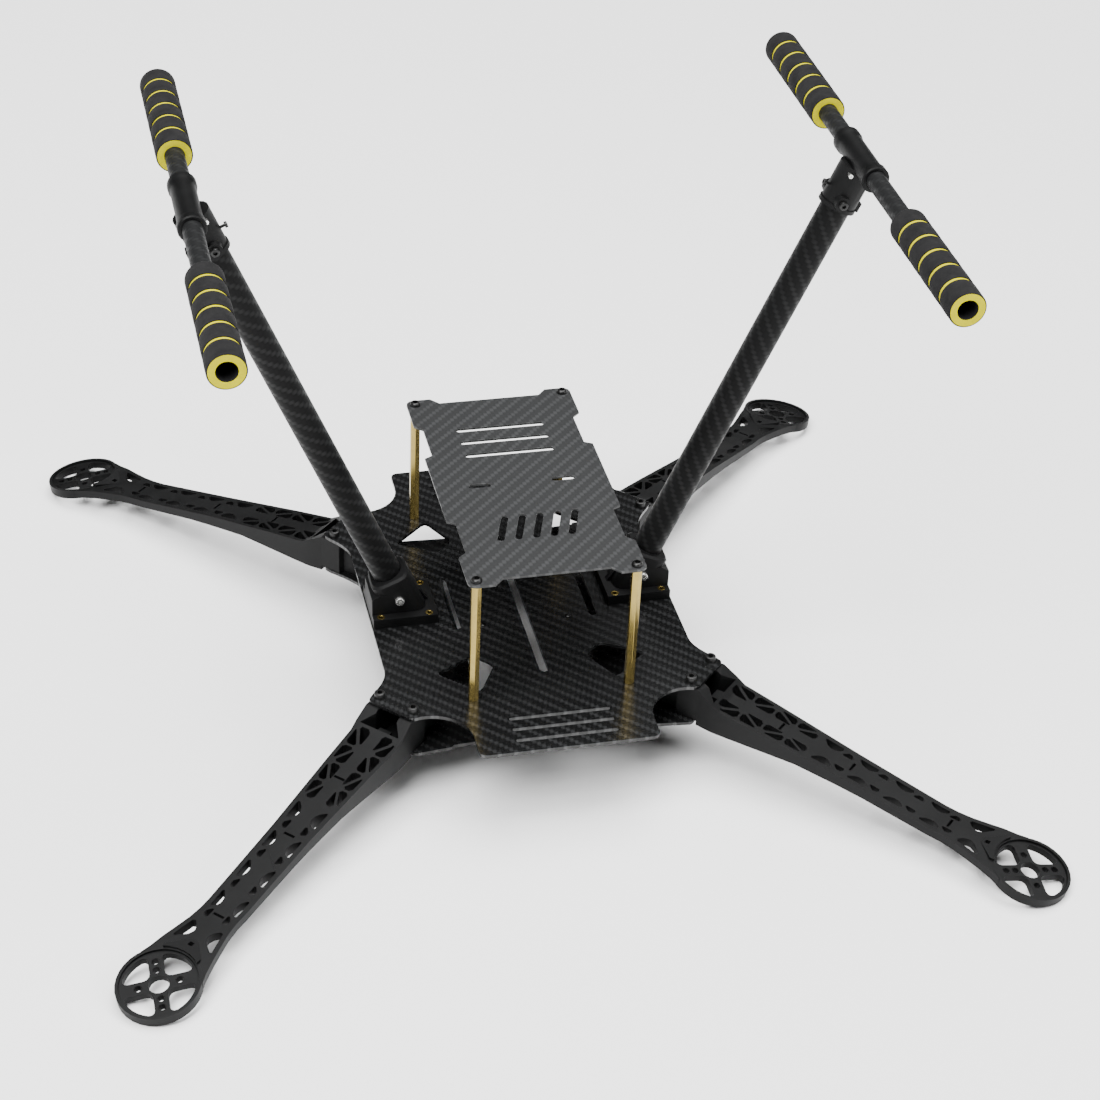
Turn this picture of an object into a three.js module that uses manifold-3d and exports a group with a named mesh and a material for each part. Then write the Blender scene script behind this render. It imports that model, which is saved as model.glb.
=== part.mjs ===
// Frame of a 500 mm class multirotor with tall landing gear, standing inverted on its motor pads.
// Millimetres, +Z up, +Y to the rear, origin on the floor under the middle of the plates.

import * as THREE from "three";
import { mergeVertices } from "three/addons/utils/BufferGeometryUtils.js";
import Module from "manifold-3d";

const wasm = await Module();
wasm.setup();

// ---------------------------------------------------------------- driving dimensions

const WHEELBASE = 494;                   // between the centres of opposite motor pads
const PLATE_THICKNESS = 1.5;             // main plate and cover plate
const BATTERY_PLATE_THICKNESS = 1;
const COVER_PLATE_BOTTOM = 20.3;
const ARM_ROOT_HEIGHT = 16;              // gap between the cover plate and the main plate
const POST_LENGTH = 59;                  // posts that carry the battery plate
const POST_ACROSS_FLATS = 4;
const POST_X = 33.2;
const POST_Y = 67.3;

const COVER_PLATE_TOP = COVER_PLATE_BOTTOM + PLATE_THICKNESS;
const MAIN_PLATE_BOTTOM = COVER_PLATE_TOP + ARM_ROOT_HEIGHT;
const MAIN_PLATE_TOP = MAIN_PLATE_BOTTOM + PLATE_THICKNESS;
const BATTERY_PLATE_BOTTOM = MAIN_PLATE_TOP + POST_LENGTH;
const BATTERY_PLATE_TOP = BATTERY_PLATE_BOTTOM + BATTERY_PLATE_THICKNESS;

const SCREW_RADIUS = 1.2;                // M2.5
const SCREW_HOLE_RADIUS = 1.35;
const ARM_SCREW_REACH = 92;              // distance from the middle, along an arm
const ARM_SCREW_OFFSET = 8.3;            // distance to either side of an arm's centre line
const ARM_SCREW_LENGTH = 7;

const PAD_REACH = WHEELBASE / 2;
const PAD_TILT = THREE.MathUtils.degToRad(12);   // how far a pad leans outwards, in line with its arm
const PAD_RADIUS = 16.7;
const PAD_CENTRE_HEIGHT = PAD_RADIUS * Math.sin(PAD_TILT);
const PAD_HEIGHT = 4.3;
const PAD_RIM = 1.3;
const PAD_WEB_HEIGHT = 3.2;
const PAD_OPENING_RADIUS = 14.4;
const PAD_BORE_RADIUS = 4.1;
const PAD_OUTER_FILLET = 1.9;
const PAD_HUB_FILLET = 2.8;
const SPOKE_WIDTH = 5.7;
const MOTOR_HOLE_RADIUS = 1.5;
const MOTOR_HOLES_ACROSS = 16;           // spacing of the holes on one pair of spokes
const MOTOR_HOLES_ALONG = [13.4, 21.6];  // spacings of the holes on the other pair

const LEG_FOOT_X = 48.9;                 // where a leg's axis meets the top of the main plate
const SKID_X = 135.3;
const SKID_RISE = 200.6;                 // skid axis above the top of the main plate
const LEG_TILT = Math.atan2(SKID_X - LEG_FOOT_X, SKID_RISE);
const LEG_REACH = Math.hypot(SKID_X - LEG_FOOT_X, SKID_RISE);
const LEG_RADIUS = 6.3;
const LEG_START = 4.4;                   // lower end of a leg tube, along its axis
const LEG_TOP_DROP = 8;                  // upper end of a leg tube, below the skid axis
const TUBE_WALL = 1;
const SLIP_GAP = 0.15;                   // clearance of a tube or bolt in the piece that holds it

const SKID_RADIUS = 4;
const SKID_HALF_LENGTH = 111;
const GRIP_RADIUS = 7.4;
const GRIP_BORE_RADIUS = 4.25;
const GRIP_LENGTH = 68;
const GRIP_STARTS = { front: -122.5, rear: 43.3 };

const SIDES = { left: -1, right: 1 };
const CORNERS = { rear_right: 45, rear_left: 135, front_left: 225, front_right: 315 };

// ---------------------------------------------------------------- materials

const finish = (color, roughness, metalness) =>
  new THREE.MeshStandardMaterial({ color, roughness, metalness });
const carbonPlate = () => finish(0x3c3e40, 0.45, 0.1);
const carbonTube = () => finish(0x343638, 0.4, 0.1);
const nylon = () => finish(0x2b2d2f, 0.6, 0);
const foam = () => finish(0x333231, 0.95, 0);
const brass = () => finish(0xb9a264, 0.35, 0.9);
const blackSteel = () => finish(0x1c1c1d, 0.4, 0.8);
const brightSteel = () => finish(0xb8b8b8, 0.3, 0.9);

// ---------------------------------------------------------------- solids

function toSolid(geometry) {
  const bare = geometry.index ? geometry.toNonIndexed() : geometry.clone();
  bare.deleteAttribute("normal");
  bare.deleteAttribute("uv");
  const merged = mergeVertices(bare, 1e-4);
  const corners = Array.from(merged.index.array);
  const triangles = [];
  for (let i = 0; i < corners.length; i += 3) {
    const [a, b, c] = corners.slice(i, i + 3);
    if (a !== b && b !== c && c !== a) triangles.push(a, b, c);
  }
  return new wasm.Manifold(new wasm.Mesh({
    numProp: 3,
    vertProperties: new Float32Array(merged.attributes.position.array),
    triVerts: new Uint32Array(triangles),
  }));
}

function toGeometry(solid) {
  const mesh = solid.getMesh();
  const geometry = new THREE.BufferGeometry();
  geometry.setAttribute("position", new THREE.BufferAttribute(new Float32Array(mesh.vertProperties), 3));
  geometry.setIndex(new THREE.BufferAttribute(new Uint32Array(mesh.triVerts), 1));
  geometry.computeVertexNormals();
  return geometry;
}

const join = (pieces) => pieces.reduce((whole, piece) => whole.add(piece));
const cut = (solid, tools) => tools.reduce((rest, tool) => rest.subtract(tool), solid);

// A prism standing on a level, from a shape drawn in plan.
function prism(shape, bottom, height, curveSegments = 6) {
  const settings = { depth: height, bevelEnabled: false, curveSegments };
  return toSolid(new THREE.ExtrudeGeometry(shape, settings).translate(0, 0, bottom));
}

// A prism across Y, from a shape drawn in X and Z.
function crossPrism(shape, halfWidth) {
  const settings = { depth: 2 * halfWidth, bevelEnabled: false };
  const geometry = new THREE.ExtrudeGeometry(shape, settings);
  return toSolid(geometry.rotateX(Math.PI / 2).translate(0, halfWidth, 0));
}

function box(width, depth, height, x, y, bottom) {
  return toSolid(new THREE.BoxGeometry(width, depth, height).translate(x, y, bottom + height / 2));
}

function rod(radius, height, x, y, bottom, segments = 12) {
  const geometry = new THREE.CylinderGeometry(radius, radius, height, segments);
  return toSolid(geometry.rotateX(Math.PI / 2).translate(x, y, bottom + height / 2));
}

// A rod along Y, from y = start.
function crossRod(radius, length, x, start, z, segments = 12) {
  const geometry = new THREE.CylinderGeometry(radius, radius, length, segments);
  return toSolid(geometry.translate(x, start + length / 2, z));
}

// A solid turned round the Y axis, from pairs of radius and height that run up its outside.
function turned(profile, segments) {
  const points = profile.map(([radius, height]) => new THREE.Vector2(radius, height));
  return toSolid(new THREE.LatheGeometry(points, segments));
}

function tube(radius, bore, start, end, segments) {
  return turned([[bore, start], [radius, start], [radius, end], [bore, end], [bore, start]], segments);
}

// ---------------------------------------------------------------- shapes

const polygon = (points) => new THREE.Shape(points.map(([x, y]) => new THREE.Vector2(x, y)));

// A round-ended slot between the centres of its two ends.
function slotShape(x0, y0, x1, y1, width) {
  const along = Math.atan2(y1 - y0, x1 - x0);
  const quarter = Math.PI / 2;
  const shape = new THREE.Shape();
  shape.absarc(x1, y1, width / 2, along - quarter, along + quarter, false);
  shape.absarc(x0, y0, width / 2, along + quarter, along + 3 * quarter, false);
  return shape;
}

function roundedPolygon(points, radius) {
  const shape = new THREE.Shape();
  points.forEach(([x, y], i) => {
    const corner = new THREE.Vector2(x, y);
    const towards = ([px, py]) => new THREE.Vector2(px, py).sub(corner).setLength(radius).add(corner);
    const before = towards(points.at(i - 1));
    const after = towards(points[(i + 1) % points.length]);
    if (i === 0) shape.moveTo(before.x, before.y);
    else shape.lineTo(before.x, before.y);
    shape.quadraticCurveTo(x, y, after.x, after.y);
  });
  shape.closePath();
  return shape;
}

// An outline that is the same in all four quadrants, from its first quadrant.
function fourQuadrants(quadrant) {
  const half = [...quadrant, ...quadrant.map(([x, y]) => [-x, y]).reverse()];
  return polygon([...half, ...half.map(([x, y]) => [x, -y]).reverse()]);
}

function arcPoints(x, y, radius, fromDegrees, toDegrees, steps) {
  return Array.from({ length: steps + 1 }, (_, i) => {
    const angle = THREE.MathUtils.degToRad(THREE.MathUtils.lerp(fromDegrees, toDegrees, i / steps));
    return [x + radius * Math.cos(angle), y + radius * Math.sin(angle)];
  });
}

function bendPoints(start, control, end, steps) {
  const [a, b, c] = [start, control, end].map(([x, y]) => new THREE.Vector2(x, y));
  return new THREE.QuadraticBezierCurve(a, b, c).getPoints(steps).map((point) => [point.x, point.y]);
}

// A place along and across an arm, turned onto the diagonal of the first quadrant.
const onDiagonal = (along, across) => [(along + across) * Math.SQRT1_2, (along - across) * Math.SQRT1_2];

// The mirror images of one place in all four quadrants.
const mirrored = ([x, y]) => [[x, y], [-x, y], [-x, -y], [x, -y]];

// ---------------------------------------------------------------- plates

const ARM_SCREW_PLACES = [-ARM_SCREW_OFFSET, ARM_SCREW_OFFSET]
  .flatMap((across) => mirrored(onDiagonal(ARM_SCREW_REACH, across)));

const through = (shape, bottom) => prism(shape, bottom - 1, PLATE_THICKNESS + 2, 2);

const drilled = (plate, places, radius, bottom) =>
  cut(plate, places.map(([x, y]) => rod(radius, PLATE_THICKNESS + 2, x, y, bottom - 1, 8)));

// The end of the tab over an arm's shoulder: one corner towards X, one towards Y.
function tabEnd(reach, widthTowardsX, widthTowardsY) {
  const radius = 2.2;
  const [x0, y0] = onDiagonal(reach - radius, widthTowardsX - radius);
  const [x1, y1] = onDiagonal(reach - radius, radius - widthTowardsY);
  return [...arcPoints(x0, y0, radius, -38, 45, 3), ...arcPoints(x1, y1, radius, 45, 108, 3)];
}

function mainPlate() {
  const waist = bendPoints([66, 42.5], [66, 48.5], [73.5, 57], 5);
  const cornerBay = arcPoints(54.7, 92, 17, -74, -180, 10);
  const cornerLug = arcPoints(34.7, 101.1, 3, 0, 90, 3);
  const outline = fourQuadrants([...waist, ...tabEnd(96.7, 11.2, 11.2), ...cornerBay, ...cornerLug]);
  const openings = [
    slotShape(0, -52.7, 0, 52.7, 3.6),
    slotShape(-29.9, -17.3, -29.9, 17.3, 3.5),
    slotShape(29.9, -17.3, 29.9, 17.3, 3.5),
  ];
  for (const end of [-1, 1]) {
    for (const y of [83, 90, 97]) openings.push(slotShape(-20.6, end * y, 20.6, end * y, 1.8));
    for (const side of [-1, 1]) {
      const corners = [[29.1, 63.2], [45.3, 48], [27.5, 38], [19.8, 45.8]];
      openings.push(roundedPolygon(corners.map(([x, y]) => [side * x, end * y]), 2.8));
    }
  }
  const plate = prism(outline, MAIN_PLATE_BOTTOM, PLATE_THICKNESS);
  const opened = cut(plate, openings.map((shape) => through(shape, MAIN_PLATE_BOTTOM)));
  const boardHoles = drilled(opened, mirrored([18.8, 17.3]), 1.25, MAIN_PLATE_BOTTOM);
  return drilled(boardHoles, ARM_SCREW_PLACES, SCREW_HOLE_RADIUS, MAIN_PLATE_BOTTOM);
}

function coverPlate() {
  const waist = bendPoints([58.5, 34], [58.5, 43.5], [73.3, 57], 6);
  const edge = [[43.5, 75.5], [42.5, 74.3], [0.5, 72]];
  const outline = fourQuadrants([...waist, ...tabEnd(96.3, 11.2, 14), ...edge]);
  const bay = roundedPolygon([[25.4, 44], [-25.4, 44], [-25.4, -44], [25.4, -44]], 6);
  const plate = prism(outline, COVER_PLATE_BOTTOM, PLATE_THICKNESS);
  const opened = plate.subtract(through(bay, COVER_PLATE_BOTTOM));
  return drilled(opened, ARM_SCREW_PLACES, SCREW_HOLE_RADIUS, COVER_PLATE_BOTTOM);
}

function batteryPlate() {
  const side = 37;
  const outline = fourQuadrants([
    [side, 24.2], [33.5, 26], [33.5, 47], [side, 50],
    ...arcPoints(side - 3.3, 67.7, 3.3, 0, 90, 3),
    [26, 71], [22.4, 67],
  ]);
  const openings = [];
  for (const y of [23.2, 33.5, 43.5]) openings.push(slotShape(-18.3, y, 18.3, y, 2.5));
  for (const x of [-17.9, 17.9]) openings.push(slotShape(x - 3.8, -0.2, x + 3.8, -0.2, 2.6));
  for (const x of [-15, -7.5, 0, 7.5, 15]) openings.push(slotShape(x - 2.4, -40, x + 2.4, -25, 3));
  const plate = prism(outline, BATTERY_PLATE_BOTTOM, BATTERY_PLATE_THICKNESS);
  const opened = cut(plate, openings.map((shape) => through(shape, BATTERY_PLATE_BOTTOM)));
  return drilled(opened, mirrored([POST_X, POST_Y]), SCREW_HOLE_RADIUS, BATTERY_PLATE_BOTTOM);
}

// ---------------------------------------------------------------- arms, lying along +X from the middle

const ARM_INNER_END = 70;
const ARM_SHOULDER = 97.4;               // just clear of the plates
const SHOULDER_FLOOR = COVER_PLATE_TOP + 1.5;
const SPINE_END_LEVEL = 30.5;            // where the spine steps down into the shoulder
const SPINE_HALF_WIDTH = 3.4;
const RAIL_WIDTH = 2.2;
const RIB_WIDTH = 1.2;
const CELL_CORNER = 1.2;
const TRUSS_START = 104.8;
const TRUSS_PITCH = 10.5;
const TRUSS_CELLS = 4;
const TRUSS_SPINE_HALF_WIDTH = 2.9;
const TRUSS_RAIL_WIDTH = 1.7;
const DIAGONAL_GAP = 1.3;                // from a diagonal's middle line to an opening, along the arm
const BAY_PITCH = 16.7;
const FIRST_BAY = 148.7;
const BAY_COUNT = 4;
const LAST_OPENING = FIRST_BAY + BAY_COUNT * BAY_PITCH + 1;

// Distance from the middle, and height of the top or bottom face there.
const ARM_TOP = [
  [ARM_INNER_END, MAIN_PLATE_BOTTOM], [ARM_SHOULDER, MAIN_PLATE_BOTTOM], [108, 31.3], [127, 28.3],
  [164, 21.8], [205, 14], [218, 12.6], [230, 11.3], [240, 9.2],
];
const ARM_BOTTOM = [
  [240, 5.2], [230, 7.3], [222, 8.3], [205, 10.3], [175, 15.3], [144, 19.2], [107, 19.3],
  [ARM_SHOULDER, 19.8],
  [ARM_SHOULDER, COVER_PLATE_TOP], [ARM_INNER_END, COVER_PLATE_TOP],
];
const ARM_HALF_WIDTHS = [
  [ARM_INNER_END, 8.4], [86.5, 8.8], [87.5, 11.2], [97, 11.2], [104, 11.6], [112, 11.3], [127, 10.6],
  [150, 9.6], [164, 9], [185, 8.8], [211, 8.6], [217, 9.2], [224, 10.7], [230, 12.1], [236, 13.5],
  [240, 14.9],
];

function halfWidthAt(along) {
  const next = ARM_HALF_WIDTHS.findIndex(([reach]) => reach >= along);
  const [r0, w0] = ARM_HALF_WIDTHS[next - 1];
  const [r1, w1] = ARM_HALF_WIDTHS[next];
  return THREE.MathUtils.mapLinear(along, r0, r1, w0, w1);
}

// Openings of the truss on one side of the spine: between two uprights there is a triangle on each
// side of the diagonal.
function trussOpenings() {
  const spine = (along) => [along, TRUSS_SPINE_HALF_WIDTH];
  const rail = (along) => [along, halfWidthAt(along) - TRUSS_RAIL_WIDTH];
  const openings = [];
  for (let cell = 0; cell < TRUSS_CELLS; cell += 1) {
    const nodes = [cell, cell + 1].map((index) => TRUSS_START + index * TRUSS_PITCH);
    const [railNode, spineNode] = cell % 2 ? nodes.reverse() : nodes;
    const step = Math.sign(spineNode - railNode);
    const gap = (step * RIB_WIDTH) / 2;
    const [nearX, nearY] = rail(railNode + gap);
    const [farX, farY] = spine(spineNode - gap);
    const drop = ((nearY - farY) / TRUSS_PITCH) * (RIB_WIDTH / 2 + DIAGONAL_GAP);
    openings.push([spine(railNode + gap), spine(spineNode - step * DIAGONAL_GAP), [nearX, nearY - drop]]);
    openings.push([rail(railNode + step * DIAGONAL_GAP), rail(spineNode - gap), [farX, farY + drop]]);
  }
  return openings;
}

// Openings of the rest of the lattice on one side, as points on the spine's or the rail's edge.
function bayOpenings() {
  const spine = (along) => [along, SPINE_HALF_WIDTH];
  const rail = (along) => [along, halfWidthAt(along) - RAIL_WIDTH];
  const openings = [];
  for (let bay = 0; bay < BAY_COUNT; bay += 1) {
    const start = FIRST_BAY + bay * BAY_PITCH;
    openings.push([rail(start), spine(start + 3.8), spine(start + 8), rail(start + 10.5)]);
    openings.push([spine(start + 9.5), rail(start + 13.3), spine(start + 15.8)]);
  }
  const last = LAST_OPENING;
  openings.push([rail(last), spine(last + 3.4), spine(last + 7), rail(last + 11.8)]);
  return openings;
}

// One of a pad's four openings, in the first quadrant between two spokes.
function padOpening() {
  const near = SPOKE_WIDTH / 2 + PAD_OUTER_FILLET;
  const far = Math.sqrt((PAD_OPENING_RADIUS - PAD_OUTER_FILLET) ** 2 - near ** 2);
  const turn = THREE.MathUtils.radToDeg(Math.atan2(near, far));
  const hub = SPOKE_WIDTH / 2 + PAD_HUB_FILLET;
  return [
    ...arcPoints(far, near, PAD_OUTER_FILLET, -90, turn, 3),
    ...arcPoints(0, 0, PAD_OPENING_RADIUS, turn, 90 - turn, 5).slice(1, -1),
    ...arcPoints(near, far, PAD_OUTER_FILLET, 90 - turn, 180, 3),
    ...arcPoints(hub, hub, PAD_HUB_FILLET, 180, 270, 3),
  ];
}

// A motor pad about its own axis, with its underside at z = 0 and its spokes on the diagonals.
function motorPad() {
  const tools = [
    rod(PAD_RADIUS - PAD_RIM, PAD_HEIGHT, 0, 0, PAD_WEB_HEIGHT, 32),
    rod(PAD_BORE_RADIUS, PAD_HEIGHT, 0, 0, -1, 16),
  ];
  const opening = toGeometry(prism(polygon(padOpening()), -1, PAD_HEIGHT));
  for (const quadrant of [0, 1, 2, 3]) {
    tools.push(toSolid(opening.clone().rotateZ(((quadrant - 0.5) * Math.PI) / 2)));
  }
  const addPair = (spacing, degrees) => {
    const [x, y] = arcPoints(0, 0, spacing / 2, degrees, degrees, 1)[0];
    for (const end of [-1, 1]) tools.push(rod(MOTOR_HOLE_RADIUS, PAD_HEIGHT, end * x, end * y, -1, 8));
  };
  addPair(MOTOR_HOLES_ACROSS, 135);
  for (const spacing of MOTOR_HOLES_ALONG) addPair(spacing, 45);
  return cut(rod(PAD_RADIUS, PAD_HEIGHT, 0, 0, 0, 32), tools);
}

// A solid drawn about a pad's axis, moved to where the pad stands.
function onPad(solid) {
  return toSolid(toGeometry(solid).rotateY(PAD_TILT).translate(PAD_REACH, 0, PAD_CENTRE_HEIGHT));
}

function armSolid() {
  const rightEdge = ARM_HALF_WIDTHS.map(([along, width]) => [along, -width]);
  const leftEdge = ARM_HALF_WIDTHS.map(([along, width]) => [along, width]).reverse();
  const plan = prism(polygon([...rightEdge, ...leftEdge]), -1, 60);
  const profile = crossPrism(polygon([...ARM_TOP, ...ARM_BOTTOM]), 20);
  const padSpace = onPad(rod(PAD_RADIUS - PAD_RIM / 2, 60, 0, 0, -20, 32));
  const tools = [];
  for (const side of [-1, 1]) {
    for (const opening of [...trussOpenings(), ...bayOpenings()]) {
      const outline = opening.map(([along, across]) => [along, side * across]);
      tools.push(prism(roundedPolygon(outline, CELL_CORNER), -1, 60, 1));
    }
    const wing = [[99.2, 2.9], [99.2, 5.2], [104.2, 9.6], [104.2, 2.9]];
    tools.push(prism(polygon(wing.map(([along, across]) => [along, side * across])), SHOULDER_FLOOR, 40));
    tools.push(rod(SCREW_HOLE_RADIUS, 40, ARM_SCREW_REACH, side * ARM_SCREW_OFFSET, 0));
  }
  tools.push(box(33.2, 10.4, 40, 82.6, 0, SHOULDER_FLOOR));
  tools.push(box(5, 2 * SPINE_HALF_WIDTH, 10, 101.7, 0, SPINE_END_LEVEL));
  for (const along of [132, 165.6, 211]) {
    const top = THREE.MathUtils.mapLinear(along, 127, 205, 28.3, 14);
    tools.push(box(1.1, 5, 10, along, 0, top - 1.6));
  }
  const gussetPlan = [[225.6, -1.5], [232.6, -8.2], [236, -8.2], [236, 8.2], [232.6, 8.2], [225.6, 1.5]];
  const gusset = prism(polygon(gussetPlan), 8.4, 3.5);
  const drain = box(2, 2, 20, 228, 0, -1);
  const beam = cut(plan.intersect(profile), tools);
  return join([cut(join([beam, gusset]), [padSpace, drain]), onPad(motorPad())]);
}

// ---------------------------------------------------------------- fasteners, pointing down from z = 0

function buttonScrew(headRadius, headHeight, length) {
  const profile = [
    [0, 0], [headRadius, 0], [headRadius, headHeight * 0.35], [headRadius * 0.6, headHeight],
    [0, headHeight],
  ];
  const head = toSolid(toGeometry(turned(profile, 12)).rotateX(Math.PI / 2));
  const shank = rod(SCREW_RADIUS, length + 0.3, 0, 0, -length, 8);
  const key = rod(headRadius * 0.36, headHeight, 0, 0, headHeight * 0.4, 6);
  return join([head, shank]).subtract(key);
}

function capScrew(headRadius, headHeight, shankRadius, length) {
  const head = rod(headRadius, headHeight, 0, 0, 0, 12);
  const shank = rod(shankRadius, length + 0.3, 0, 0, -length, 8);
  const key = rod(headRadius * 0.5, headHeight, 0, 0, headHeight * 0.4, 6);
  return join([head, shank]).subtract(key);
}

// ---------------------------------------------------------------- landing gear

const FLANGE_X = 51.5;
const FLANGE_WIDTH = 28;
const FLANGE_DEPTH = 26.4;
const FLANGE_HEIGHT = 4.5;
const INSERT_RADIUS = 1.7;
const INSERT_BORE_RADIUS = 1;
const INSERT_PLACES = {
  inner_front: [41, -11],
  inner_rear: [41, 11],
  outer_front: [62, -11],
  outer_rear: [62, 11],
};
const SOCKET_HALF_WIDTH = 8.7;
const SOCKET_HALF_DEPTH = 9.2;
const SOCKET_HEIGHT = 22;
const SOCKET_CHAMFER = 1;
const LEG_BOLT_RISE = 12.1;
const LEG_BOLT_RADIUS = 1.2;

const TEE_SLEEVE_RADIUS = 5.15;
const TEE_FLARE_RADIUS = 5.8;
const TEE_SOCKET_RADIUS = 7.6;
const TEE_SOCKET_DROP = 21.5;            // lower end of the socket, below the skid axis
const TEE_BOLT_X = -2.3;                 // towards the middle of the frame
const TEE_BOLT_DROP = 17.5;
const TEE_BOLT_RADIUS = 1;
const TEE_BOSS_RADIUS = 3.2;
const TEE_BOSS_DEPTH = 9.2;
const SET_SCREW_DROP = 13.7;
const SET_SCREW_X = -9.4;
const PIN_DROP = 5.6;
const PIN_X = -4.6;
const PIN_Y = -6.8;
const PIN_RADIUS = 0.9;

// A solid drawn in a leg's own frame, moved to where the leg stands.
function onLeg(solid, side) {
  const geometry = toGeometry(solid).rotateY(side * LEG_TILT);
  return toSolid(geometry.translate(side * LEG_FOOT_X, 0, MAIN_PLATE_TOP));
}

// The socket round the foot of a leg, chamfered at its mouth.
function legSocket() {
  const [w, d] = [SOCKET_HALF_WIDTH - SOCKET_CHAMFER, SOCKET_HALF_DEPTH - SOCKET_CHAMFER];
  const section = roundedPolygon([[w, d], [-w, d], [-w, -d], [w, -d]], 4.5);
  const geometry = new THREE.ExtrudeGeometry(section, {
    depth: SOCKET_HEIGHT + 12 - 2 * SOCKET_CHAMFER,
    bevelThickness: SOCKET_CHAMFER,
    bevelSize: SOCKET_CHAMFER,
    bevelSegments: 1,
    curveSegments: 3,
  });
  return toSolid(geometry.translate(0, 0, SOCKET_CHAMFER - 12));
}

function legMount(side) {
  const outlineOf = (points) => polygon(points.map(([x, z]) => [side * x, MAIN_PLATE_TOP + z]));
  const flange = box(FLANGE_WIDTH, FLANGE_DEPTH, FLANGE_HEIGHT, side * FLANGE_X, 0, MAIN_PLATE_TOP);
  const cheekOutline = outlineOf([[45.5, 2], [65.5, 2], [65.5, 12], [62, 14.2], [50, 12]]);
  const cheeks = crossPrism(cheekOutline, SOCKET_HALF_DEPTH);
  const rib = crossPrism(outlineOf([[38.6, 3], [48, 3], [48, 14], [46.2, 14]]), 1.5);
  const tools = [
    box(150, 60, 40, side * FLANGE_X, 0, MAIN_PLATE_TOP - 40),
    onLeg(rod(LEG_RADIUS + SLIP_GAP, 40, 0, 0, LEG_START - 0.4, 24), side),
    onLeg(crossRod(LEG_BOLT_RADIUS + SLIP_GAP, 60, 0, -30, LEG_BOLT_RISE), side),
  ];
  for (const [x, y] of Object.values(INSERT_PLACES)) {
    tools.push(rod(INSERT_RADIUS + 0.1, 40, side * x, y, MAIN_PLATE_TOP - 5));
  }
  return cut(join([flange, onLeg(legSocket(), side), cheeks, rib]), tools);
}

// A leg tube in its leg's frame, drilled across for the bolts at both ends.
function legTube(side) {
  const upright = tube(LEG_RADIUS, LEG_RADIUS - TUBE_WALL, LEG_START, LEG_REACH - LEG_TOP_DROP, 24);
  const body = toSolid(toGeometry(upright).rotateX(Math.PI / 2));
  return cut(body, [
    crossRod(LEG_BOLT_RADIUS + SLIP_GAP, 40, 0, -20, LEG_BOLT_RISE),
    crossRod(TEE_BOLT_RADIUS + SLIP_GAP, 40, side * TEE_BOLT_X, -20, LEG_REACH - TEE_BOLT_DROP),
  ]);
}

// A tee in the leg's directions, with the skid axis through its origin.
function teeSolid(side) {
  const sleeve = turned([
    [0, -18.5], [TEE_FLARE_RADIUS - 0.5, -18.5], [TEE_FLARE_RADIUS, -18], [TEE_FLARE_RADIUS, -14.5],
    [TEE_SLEEVE_RADIUS, -13], [TEE_SLEEVE_RADIUS, 13.5], [TEE_FLARE_RADIUS, 15], [TEE_FLARE_RADIUS, 18.5],
    [TEE_FLARE_RADIUS - 0.5, 19], [0, 19],
  ], 20);
  const socket = rod(TEE_SOCKET_RADIUS, TEE_SOCKET_DROP - 3, 0, 0, -TEE_SOCKET_DROP, 20);
  const lip = rod(TEE_SOCKET_RADIUS + 0.5, 1.8, 0, 0, -TEE_SOCKET_DROP, 20);
  const bossPlace = [side * TEE_BOLT_X, -TEE_BOSS_DEPTH, -TEE_BOLT_DROP];
  const boss = crossRod(TEE_BOSS_RADIUS, 2 * TEE_BOSS_DEPTH, ...bossPlace);
  const neck = box(9, 12, 5, 0, 0, -6);
  const ear = box(3.4, 5, 4, side * 7.2, 0, 0.8 - TEE_SOCKET_DROP);
  const tools = [
    crossRod(SKID_RADIUS + SLIP_GAP, 60, 0, -30, 0, 24),
    rod(LEG_RADIUS + SLIP_GAP, 40, 0, 0, 0.4 - LEG_TOP_DROP - 40, 24),
    crossRod(TEE_BOLT_RADIUS + SLIP_GAP, 60, side * TEE_BOLT_X, -30, -TEE_BOLT_DROP),
    box(0.6, 4, 8, side * 4.7, -7.6, -15),
    crossRod(PIN_RADIUS + 0.05, 3, side * PIN_X, PIN_Y, -PIN_DROP),
    onInnerSide(rod(0.75, 8, 0, 0, -4.4), side, SET_SCREW_X, -SET_SCREW_DROP),
  ];
  return cut(join([sleeve, socket, lip, boss, neck, ear]), tools);
}

// A piece drawn pointing down, laid to point outwards from the inner side of a tee.
function onInnerSide(solid, side, x, z) {
  const geometry = toGeometry(solid).rotateY((-side * Math.PI) / 2);
  return toSolid(geometry.translate(side * x, 0, z));
}

function gripSolid() {
  const bands = [[GRIP_BORE_RADIUS, 0], [GRIP_RADIUS, 0]];
  for (const middle of [11.3, 22.6, 33.9, 45.2, 56.5]) {
    bands.push([GRIP_RADIUS, middle - 0.8], [GRIP_RADIUS - 0.5, middle], [GRIP_RADIUS, middle + 0.8]);
  }
  bands.push([GRIP_RADIUS, GRIP_LENGTH - 2], [GRIP_RADIUS - 2, GRIP_LENGTH]);
  bands.push([GRIP_BORE_RADIUS, GRIP_LENGTH]);
  return turned([...bands, bands[0]], 16);
}

// ---------------------------------------------------------------- assembly

const group = new THREE.Group();

function addMesh(parent, name, geometry, material, x = 0, y = 0, z = 0) {
  const mesh = new THREE.Mesh(geometry, material);
  mesh.name = name;
  mesh.position.set(x, y, z);
  parent.add(mesh);
  return mesh;
}

addMesh(group, "main_plate", toGeometry(mainPlate()), carbonPlate());
addMesh(group, "cover_plate", toGeometry(coverPlate()), carbonPlate());
addMesh(group, "battery_plate", toGeometry(batteryPlate()), carbonPlate());

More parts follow.
